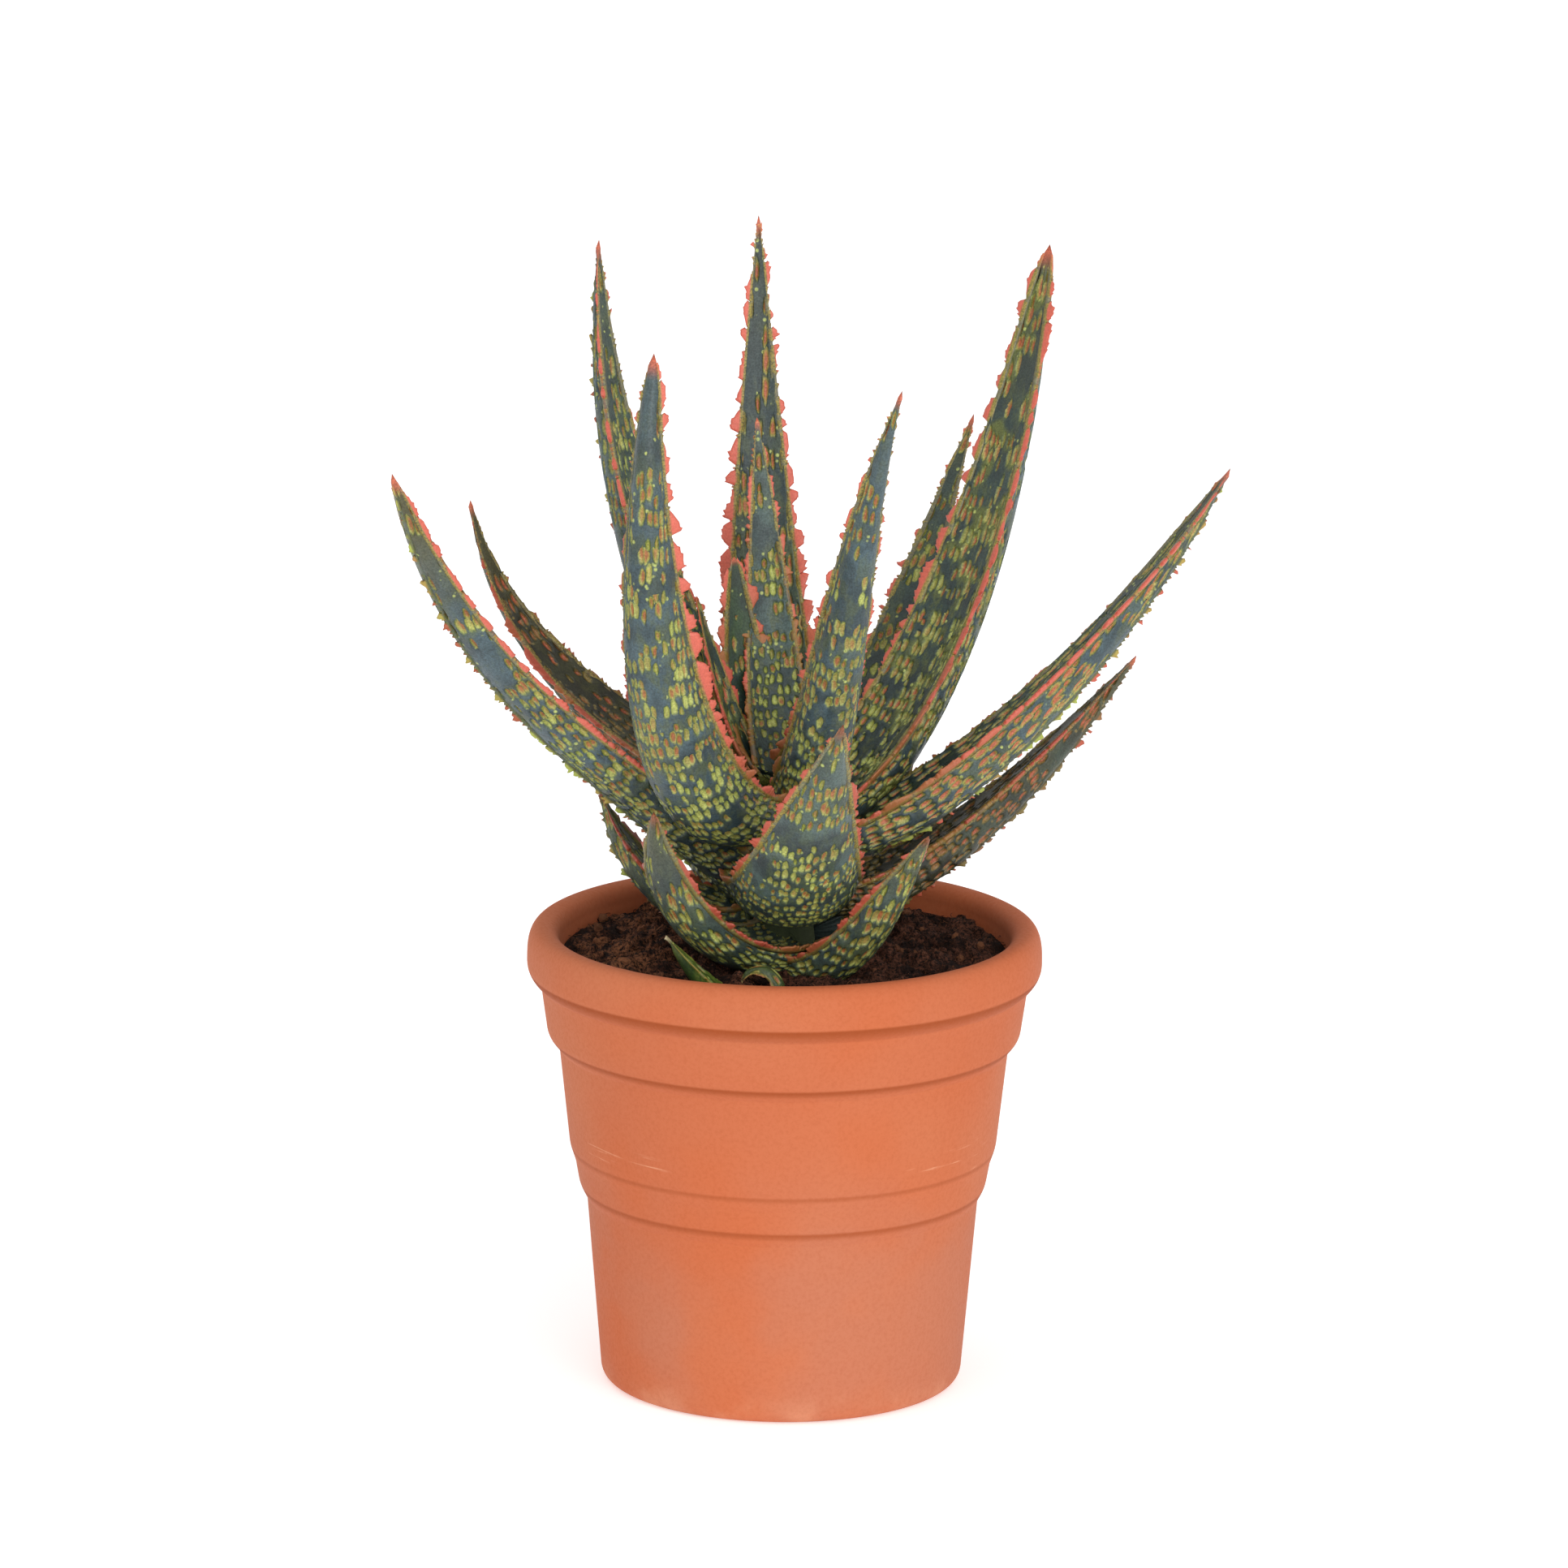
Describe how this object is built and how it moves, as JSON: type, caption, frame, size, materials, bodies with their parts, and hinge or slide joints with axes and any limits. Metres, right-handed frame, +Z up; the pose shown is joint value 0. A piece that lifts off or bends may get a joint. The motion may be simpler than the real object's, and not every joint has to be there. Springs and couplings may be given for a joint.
{
  "type": "potted aloe plant",
  "caption": "rosette of long keeled succulent leaves with warty faces and red toothed crests along their edges, in a stepped round terracotta pot filled with soil",
  "frame": {"origin": "middle of the pot's flat underside", "axes": "Z up along the pot's axis, -Y towards the front that the picture shows, X to the viewer's right"},
  "size_m": [0.1939, 0.1771, 0.2669],
  "materials": {
    "terracotta": "matte",
    "soil": "matte",
    "stem": "matte",
    "leaf": "satin",
    "shoot": "satin"
  },
  "bodies": {
    "root": {"pot": "terracotta", "stem": "stem", "leaf_bud": "leaf", "leaf_heart": "leaf", "leaf_inner": "leaf", "leaf_inner_left": "leaf", "leaf_back_tall": "leaf", "leaf_front_right": "leaf", "leaf_front_left": "leaf", "leaf_left_upright": "leaf", "leaf_right_tall": "leaf", "leaf_left_back": "leaf", "leaf_right_long": "leaf", "leaf_left_long": "leaf", "leaf_back_right": "leaf", "leaf_right_low": "leaf", "leaf_front": "leaf", "leaf_low_left_back": "leaf", "leaf_low_left": "leaf", "leaf_low_right": "leaf", "leaf_low_back_left": "leaf", "leaf_low_back": "leaf", "leaf_low_back_right": "leaf", "shoot_left": "shoot", "shoot_curled": "shoot", "shoot_right": "shoot", "soil": "soil"}
  },
  "joints": []
}
